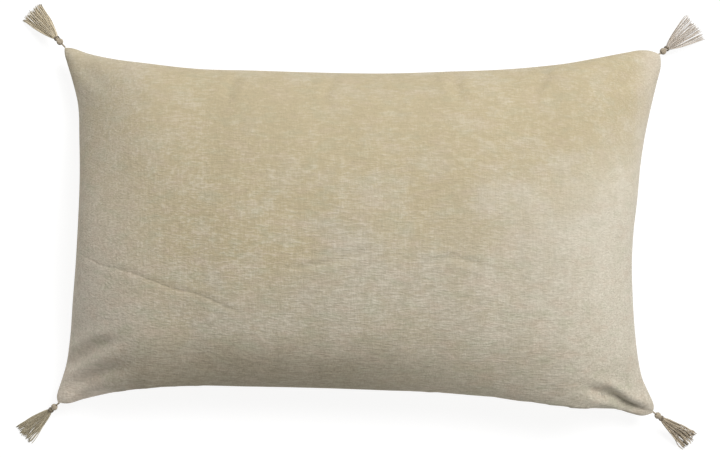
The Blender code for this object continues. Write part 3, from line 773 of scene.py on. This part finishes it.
def openSeam(grid, side):   # parts the panels along the seam, and rolls them in over the zip
    grid = grid.copy()
    x, y, z = grid[..., 0], grid[..., 1], grid[..., 2]
    seam = seamHeight(x, y)
    half = grid.shape[1] // 2
    lowerHalf = np.arange(grid.shape[1]) < half
    (openLeft, openRight), (shutLeft, shutRight) = cushion["grooveOpen"], cushion["grooveShut"]
    onZip = ease((x - shutLeft) / (openLeft - shutLeft)) * ease((shutRight - x) / (shutRight - openRight))
    onZip = onZip * lowerHalf
    run = cushion["grooveRun"]
    byZip = ease((x - shutLeft + run) / run) * ease((shutRight + run - x) / run) * lowerHalf
    height, edge = side * (z - seam), y[:, :1].copy()
    depth = np.maximum(slitY - edge, 1.2 * mm)
    lip = cushion["grooveLip"] + 0.35 * np.maximum(0, depth - 3 * mm)
    near, tall = cushion["grooveRoom"]
    power = np.maximum(1.3, np.log(near / depth / 1.5) / np.log(tall / lip))
    climb = np.maximum.accumulate(height[:, :half], axis=1) + np.arange(half) * 1e-7
    back = np.array([np.interp(lip[k, 0], climb[k], y[k, :half]) - edge[k, 0] for k in range(len(y))])
    back = np.convolve(np.minimum(back, 5 * mm), np.full(21, 1 / 21), "same")[:, None]
    high = np.clip(height / lip, 0, 1)
    pushed = np.where(high < 1, edge, y - back * ease(1 - (height - lip) / cushion["grooveFade"]))
    y += (pushed - y) * byZip + (slitY - edge) * (1 - high ** power) ** 1.5 * onZip
    opening = cushion["seamGap"] + (cushion["slitGap"] - cushion["seamGap"]) * onZip
    for corner in corners:   # room for the cord
        pivot = jointPlace("sway_" + corner)
        near = 1 - ease((np.hypot(x - pivot.x, y - pivot.y) - 6 * mm) / (11 * mm))
        opening += (cushion["cordGap"] - cushion["seamGap"]) * near
    z += side * opening / 2 * (1 - high)
    return grid


frontGrid, backGrid = dress(frontGrid, 1), dress(backGrid, -1)
for ring in ((0, slice(None)), (-1, slice(None)), (slice(None), 0), (slice(None), -1)):
    backGrid[ring] = frontGrid[ring]


def makeShell(name, grid, side, wall, turnIn, material, replaced):
    rows, columns = grid.shape[:2]
    loop = borderOf(rows, columns)
    points = grid.reshape(-1, 3)
    edge = points[loop]
    inward = -normalize(np.cross(np.roll(edge, 1, 0) - np.roll(edge, -1, 0), (0, 0, 1)))
    centre = edge.mean(0)
    wrong = ((centre - edge) * inward).sum(1) < 0
    inward[wrong] *= -1
    inward = normalize(inward + np.roll(inward, 1, 0) + np.roll(inward, -1, 0))
    lip = edge + inward * turnIn
    lip[:, 2] = edge[:, 2] - side * 0.1 * mm
    faces = gridFaces(rows, columns, flip=side < 0).tolist()
    start = rows * columns
    for k in range(len(loop)):
        n = (k + 1) % len(loop)
        quad = (loop[k], start + k, start + n, loop[n])
        faces.append(quad if side < 0 else quad[::-1])
    piece = addPiece(name, np.concatenate([points, lip]), faces, material, "root", replaced)
    solid = piece.modifiers.new("wall", "SOLIDIFY")
    solid.thickness, solid.offset = wall, -1


for name, side, grid in (("front", 1, frontGrid), ("back", -1, backGrid)):
    makeShell("velvet_cover_" + name, openSeam(grid, side), side, cushion["wall"], cushion["turnIn"],
              materials["velvet"], ["cover_" + name])
print("cover sewn")


# the inner cushion: cotton casing and fibre filling

inner = dict(
    inset=14.5 * mm,       # from the cover's seam to the casing's
    clear=2.4 * mm,        # from the cover's outside to the casing's
    wall=0.7 * mm,
    turnIn=0.8 * mm,
    roundEdge=34 * mm,
    fillInset=2.6 * mm,    # from the casing's seam to the filling
    fillClear=1.6 * mm,
    cells=(96, 58),
)


def innerGrid(side, inset, clear, seamGap):
    outer = {1: frontGrid, -1: backGrid}[side]
    rows, columns = outer.shape[:2]
    a = np.linspace(-1, 1, inner["cells"][0] + 1)
    b = np.linspace(-1, 1, inner["cells"][1] + 1)
    a, b = np.sin(a * math.pi / 2) * 0.45 + a * 0.55, np.sin(b * math.pi / 2) * 0.45 + b * 0.55
    a, b = np.meshgrid(a, b, indexing="ij")
    plan = outlinePoint(a * (1 - inset / halfLength), b * (1 - inset / halfWidth))
    # the outer cloth over each point in plan, found by stepping along its grid
    shareX = np.interp(plan[..., 0], outer[:, columns // 2, 0], np.arange(rows))
    shareY = np.interp(plan[..., 1], outer[rows // 2, :, 1], np.arange(columns))
    for _ in range(6):
        found = sampleGrid(outer, shareX, shareY)
        shareX += (plan[..., 0] - found[..., 0]) / (2 * halfLength / rows) * 0.7
        shareY += (plan[..., 1] - found[..., 1]) / (2 * halfWidth / columns) * 0.7
    found = sampleGrid(outer, shareX, shareY)
    normals = sampleGrid(gridNormals(outer) * side, shareX, shareY)
    seam = seamHeight(plan[..., 0], plan[..., 1])
    limit = found[..., 2] - side * clear / np.maximum(0.35, abs(normals[..., 2]))
    if side < 0:
        limit = np.maximum(limit, clear)
    fromEdge = np.minimum((1 - abs(a)) * halfLength, (1 - abs(b)) * halfWidth)
    near = np.clip(fromEdge / inner["roundEdge"], 0, 1)
    rise = np.sqrt(1 - (1 - near) ** 2)
    z = seam + side * seamGap / 2 + (limit - seam - side * seamGap / 2) * rise
    return np.dstack([plan, z])


def makeInner():
    for side, name in ((1, "front"), (-1, "back")):
        grid = innerGrid(side, inner["inset"], inner["clear"], 0.6 * mm)
        makeShell("cotton_casing_" + name, grid, side, inner["wall"], inner["turnIn"], materials["ticking"],
                  ["ticking_" + name])
    inset = inner["inset"] + inner["fillInset"]
    clear = inner["clear"] + inner["fillClear"]
    top, bottom = innerGrid(1, inset, clear, 0.0), innerGrid(-1, inset, clear, 0.0)
    generator = random.Random(3)
    for grid, side in ((top, 1), (bottom, -1)):
        lumps = rippleOf(grid, (0.06, 0.045, 0.034, 0.026), generator)
        rim = np.abs(grid[..., 2] - seamHeight(grid[..., 0], grid[..., 1]))
        grid[..., 2] -= side * (1 + lumps) * 0.5 * mm * ease(rim / 0.02)
    points, used, _, faces = sew(top, bottom)
    return addPiece("fibre_filling", points[used], faces, materials["fibre"], "root",
                    ["insert_fill"])


filler = makeInner()
print("inner cushion made")


# zip: woven tapes with a row of stitches, nylon coils, and the metal parts of the frame

zipParts = dict(wire=0.2 * mm, pitch=1.15 * mm, stitch=2.6 * mm, stitchGap=0.9 * mm, thread=0.18 * mm)


def makeTape(name):
    low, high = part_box("zip_tape_" + name)
    rows, columns = 281, 13
    a, b = np.meshgrid(np.linspace(low.x, high.x, rows), np.linspace(low.y, high.y, columns), indexing="ij")
    middle = (low.z + high.z) / 2
    wave = 0.05 * mm * np.sin(a / (5.2 * mm)) * np.sin(b / (1.1 * mm))
    outward = 1 if name == "front" else -1
    grid = np.dstack([a, b, np.full_like(a, middle + outward * 0.16 * mm) + wave])
    makeShell("woven_tape_" + name, grid, outward, 0.3 * mm, 0.05 * mm, materials["tape"],
              ["zip_tape_" + name])
    stitches = Tubes()
    step = zipParts["stitch"] + zipParts["stitchGap"]
    line = low.y + 0.72 * (high.y - low.y)
    for k in range(int((high.x - low.x) / step)):
        start = low.x + k * step + zipParts["stitchGap"]
        t = np.linspace(0, 1, 7)
        lift = np.sin(t * math.pi) * 0.12 * mm
        path = np.stack([start + t * zipParts["stitch"], np.full(7, line),
                         middle + outward * (0.18 * mm + lift)], 1)
        stitches.add(path, zipParts["thread"], 6, tint=0.6)
    stitches.finish("tape_stitches_" + name, materials["cord"], "root")


def makeCoil(name):
    low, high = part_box("zip_coil_" + name)
    middle, radius = (low + high) / 2, (high.z - low.z) / 2 - zipParts["wire"]
    turns = int((high.x - low.x - 2 * zipParts["wire"]) / zipParts["pitch"])
    steps = turns * 12
    angle = np.arange(steps + 1) * math.tau / 12
    x = low.x + zipParts["wire"] + (high.x - low.x - 2 * zipParts["wire"]) * np.arange(steps + 1) / steps
    path = np.stack([x, middle.y + radius * np.cos(angle), middle.z + radius * np.sin(angle)], 1)
    coil = Tubes()
    coil.add(path, zipParts["wire"], 6)
    line = np.linspace(low.x + mm, high.x - mm, 60)
    core = np.stack([line, np.full(60, middle.y), np.full(60, middle.z)], 1)
    coil.add(core, 0.32 * mm, 8, 3, 0.15, 2 * mm)
    coil.finish("nylon_coil_" + name, materials["coil"], "root", ["zip_coil_" + name])


for half in ("front", "back"):
    makeTape(half)
    makeCoil(half)
for node in ("zip_slider", "zip_pull_tab", "zip_stop_closed", "zip_stop_open"):
    metalPart = frame["nodes"][node]
    metalPart.data.materials.clear()
    metalPart.data.materials.append(materials["metal"])
    edges = metalPart.modifiers.new("softEdges", "BEVEL")
    edges.width, edges.segments, edges.limit_method = 0.09 * mm, 2, "ANGLE"
print("zip made")


# care label: a folded ribbon sewn inside the left seam, left blank

labelShape = dict(rows=20, columns=40, thick=0.28 * mm, curl=0.27 * mm)


def makeLabel():
    low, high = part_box("care_label")
    rows, columns = labelShape["rows"], labelShape["columns"]
    t, s = np.meshgrid(np.linspace(0, 1, rows), np.linspace(0, 1, columns), indexing="ij")
    lean = high.x - low.x - 0.4 * mm
    x = low.x + 0.3 * mm + lean * t ** 1.15 + labelShape["curl"] * np.sin(t * math.pi) * np.sin(s * 5)
    y = low.y + (high.y - low.y) * s
    z = low.z + 0.15 * mm + (high.z - low.z - 0.4 * mm) * t
    grid = np.dstack([x, y, z])
    makeShell("care_label_ribbon", grid, -1, labelShape["thick"], 0.05 * mm, materials["label"],
              ["care_label"])


makeLabel()


# tassels: cord, bundle head, thread binding and loose strands

tassel = dict(
    strandStep=0.9 * mm, twistPitch=2.6 * mm,
    wide=10.4 * mm, thick=1.7 * mm, neck=1.35 * mm, fan=0.66, uneven=3.4 * mm, stray=6,
    longer=5.0 * mm, lying=0.5 * mm,   # past the frame's skirt, and how high loose ends lie on the floor
    headStrands=17, headYarn=0.52 * mm,
    thread=0.30 * mm, turns=4.2, cordRadius=0.72 * mm, cordPitch=2.6 * mm,
    knotRadius=1.15 * mm, knotCord=0.5 * mm, tailRadius=0.68 * mm,
)
skirts = dict(   # strands of each tassel: how many, how thick, how far they wander in mm, spread and twist
    tl=dict(strands=76, radius=0.33 * mm, wander=0.35, spread=1.0, twist=0.06),
    tr=dict(strands=56, radius=0.27 * mm, wander=0.22, spread=1.24, twist=0.0),
    bl=dict(strands=68, radius=0.33 * mm, wander=0.50, spread=0.90, twist=0.06),
    br=dict(strands=46, radius=0.44 * mm, wander=1.05, spread=0.80, twist=0.24),
)


def tasselFrame(corner):   # head centre, and the tassel's own axes: along, across and through
    centre = jointPlace("lift_" + corner)
    points = np.array([v.co for v in frame["nodes"][f"tassel_{corner}_skirt"].data.vertices])
    along = normalize(points.mean(0) - np.array(centre))
    across = normalize(np.array(joints["lift_" + corner]["axis"], float))
    through = np.cross(along, across)
    reach = ((points - np.array(centre)) @ along).max()
    return np.array(centre), np.stack([along, across, through]), reach


def makeSkirt(corner, centre, axes, reach):
    generator = random.Random("skirt" + corner)
    start = tassel["headRadius"] * 0.55
    yarns = Tubes()
    own = skirts[corner]
    for k in range(own["strands"]):
        share = -1 + 2 * (k + 0.5) / own["strands"] + generator.uniform(-0.05, 0.05)
        through = math.sqrt(max(0.0, 1 - share * share)) * generator.uniform(-1, 1)
        length = reach + tassel["longer"] - generator.uniform(0, tassel["uneven"]) - 1.5 * mm * share * share
        angle = generator.uniform(0, math.tau)
        packed = tassel["neck"] * math.sqrt(generator.random())
        root = (share * tassel["neck"] * 0.7 + packed * 0.3 * math.cos(angle), packed * math.sin(angle))
        tip = (tassel["wide"] * own["spread"] * share, tassel["thick"] * through)
        wander = own["wander"] * mm * generator.uniform(0.4, 1.3)
        if k % (own["strands"] // tassel["stray"]) == 3:
            wander *= 2.1
        count = max(8, int((length - start) / tassel["strandStep"]))
        t = np.linspace(0, 1, count)
        out = start + t * (length - start)
        past = np.clip((out - tassel["bindingEnd"]) / (length - tassel["bindingEnd"]), 0, 1)
        fan = past ** tassel["fan"]
        turnA, turnB = generator.uniform(1.2, 2.6), generator.uniform(2.5, 4.5)
        phaseA, phaseB = generator.uniform(0, math.tau), generator.uniform(0, math.tau)
        bends = np.sin(past * turnA * math.pi + phaseA) + 0.35 * np.sin(past * turnB * math.pi + phaseB)
        sway = wander * past * bends
        across = root[0] + (tip[0] - root[0]) * fan + sway
        depth = root[1] + (tip[1] - root[1]) * fan + 0.3 * np.roll(sway, 3) * past
        depth = np.clip(depth, -2.1 * mm, 2.1 * mm)
        local = np.stack([out, across, depth], 1)
        path = centre + local @ axes
        above = path[:, 2] - tassel["lying"]
        path[:, 2] = tassel["lying"] + (above + np.sqrt(above ** 2 + (0.6 * mm) ** 2)) / 2
        yarns.add(path, own["radius"] * generator.uniform(0.85, 1.15), 6, 2, own["twist"],
                  tassel["twistPitch"] * generator.uniform(0.9, 1.2), generator.uniform(0.1, 1.0), 0.4)
    yarns.finish(f"yarn_skirt_{corner}", materials["yarn" + corner.title()], "tassel_" + corner,
                 [f"tassel_{corner}_skirt"])


def makeHead(corner, centre, axes):   # yarns folded over the cord, side by side round a ball
    generator = random.Random("head" + corner)
    ball = tassel["headRadius"] - tassel["headYarn"]
    yarns = Tubes()
    for k in range(tassel["headStrands"]):
        turn = math.tau * k / tassel["headStrands"]
        polar = np.radians(np.linspace(14, 158, 18))
        twist = turn + 0.25 * (polar - polar[0])
        folded = np.stack([-np.cos(polar), np.sin(polar) * np.cos(twist), np.sin(polar) * np.sin(twist)], 1)
        shade = generator.uniform(0.3, 0.9)
        yarns.add(centre + folded * ball @ axes, tassel["headYarn"], 8, 2, 0.14, 1.9 * mm, shade)
    core = np.stack([np.linspace(-0.9, 0.9, 9), np.zeros(9), np.zeros(9)], 1) * ball
    shape = np.sqrt(np.maximum(0.02, 1 - np.linspace(-0.95, 0.95, 9) ** 2))
    begin = yarns.count
    yarns.add(centre + core @ axes, 1.0, 12, tint=0.2)
    for ring in range(9):   # swells the core into a ball
        middle = centre + core[ring] @ axes
        for index in range(begin + ring * 12, begin + ring * 12 + 12):
            spoke = normalize(yarns.points[index] - middle)
            yarns.points[index] = middle + spoke * ball * shape[ring] * 0.97
    yarns.finish(f"bundle_head_{corner}", materials["head"], "tassel_" + corner,
                 [f"tassel_{corner}_head"])


def makeBinding(corner, centre, axes):
    start, end = tassel["bindingStart"], tassel["bindingEnd"]
    steps = int(tassel["turns"] * 16)
    angle = np.arange(steps + 1) * math.tau / 16
    along = start + tassel["thread"] + (end - start - 2 * tassel["thread"]) * np.arange(steps + 1) / steps
    radius = tassel["neck"] + 0.62 * mm + 0.22 * mm * np.sin(np.linspace(0, math.pi, steps + 1))
    local = np.stack([along, radius * np.cos(angle), radius * np.sin(angle)], 1)
    wraps = Tubes()
    wraps.add(centre + local @ axes, tassel["thread"], 8, 2, 0.15, 1.2 * mm, 0.5, 0.5)
    wraps.finish(f"thread_binding_{corner}", materials["binding"], "tassel_" + corner,
                 [f"tassel_{corner}_binding"])


def makeLoop(corner, centre, axes):   # two-ply cord from inside the corner to the head
    start = np.array(jointPlace("sway_" + corner))
    end = centre - axes[0] * (tassel["headRadius"] + 0.12 * mm)
    out = normalize((end - start) * (1, 1, 0))
    first = start - out * 1.0 * mm
    t = np.linspace(0, 1, 26)[:, None]
    path = first + (end - first) * t
    path[:, 2] = start[2] + (end[2] - start[2]) * np.linspace(0, 1, 26) ** 2
    cord = Tubes()
    cord.add(path, tassel["cordRadius"] * 0.9, 10, 2, 0.2, tassel["cordPitch"], 0.6, 0.3)
    cord.finish(f"twisted_loop_{corner}", materials["cord"], "link_" + corner,
                [f"tassel_{corner}_loop"])


def makeAnchor(corner):   # knot and tail of the cord inside the cover
    points = np.array([v.co for v in frame["nodes"][f"tassel_{corner}_anchor"].data.vertices])
    pivot = np.array(jointPlace("sway_" + corner))
    away = normalize(pivot - points.mean(0))
    reach = points @ away
    middle = points[np.abs(reach - reach.min()) < 3.4 * mm].mean(0)
    tail = points[reach > reach.max() - 0.4 * mm].mean(0)
    side = normalize(np.cross(away, (0, 0, 1)))
    up = np.cross(side, away)
    t = np.linspace(0, math.tau, 64)
    knot = np.stack([np.sin(t) + 2 * np.sin(2 * t), np.cos(t) - 2 * np.cos(2 * t), -np.sin(3 * t)], 1)
    knot = knot / 3 * tassel["knotRadius"]
    cord = Tubes()
    cord.add(middle + knot @ np.stack([away, side, up]), tassel["knotCord"], 8, 2, 0.15, 1.8 * mm)
    line = np.linspace(0, 1, 20)[:, None]
    cord.add(middle + (tail - middle) * line, tassel["tailRadius"], 8, 2, 0.2, tassel["cordPitch"])
    cord.finish(f"cord_anchor_{corner}", materials["cord"], "root", [f"tassel_{corner}_anchor"])


headLow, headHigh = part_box("tassel_tl_head")
tassel["headRadius"] = (headHigh.z - headLow.z) / 2
tassel["bindingStart"] = tassel["headRadius"] + 0.3 * mm
tassel["bindingEnd"] = tassel["bindingStart"] + 2.6 * mm
for corner in corners:
    centre, axes, reach = tasselFrame(corner)
    makeSkirt(corner, centre, axes, reach)
    makeHead(corner, centre, axes)
    makeBinding(corner, centre, axes)
    makeLoop(corner, centre, axes)
    makeAnchor(corner)
print("tassels tied")
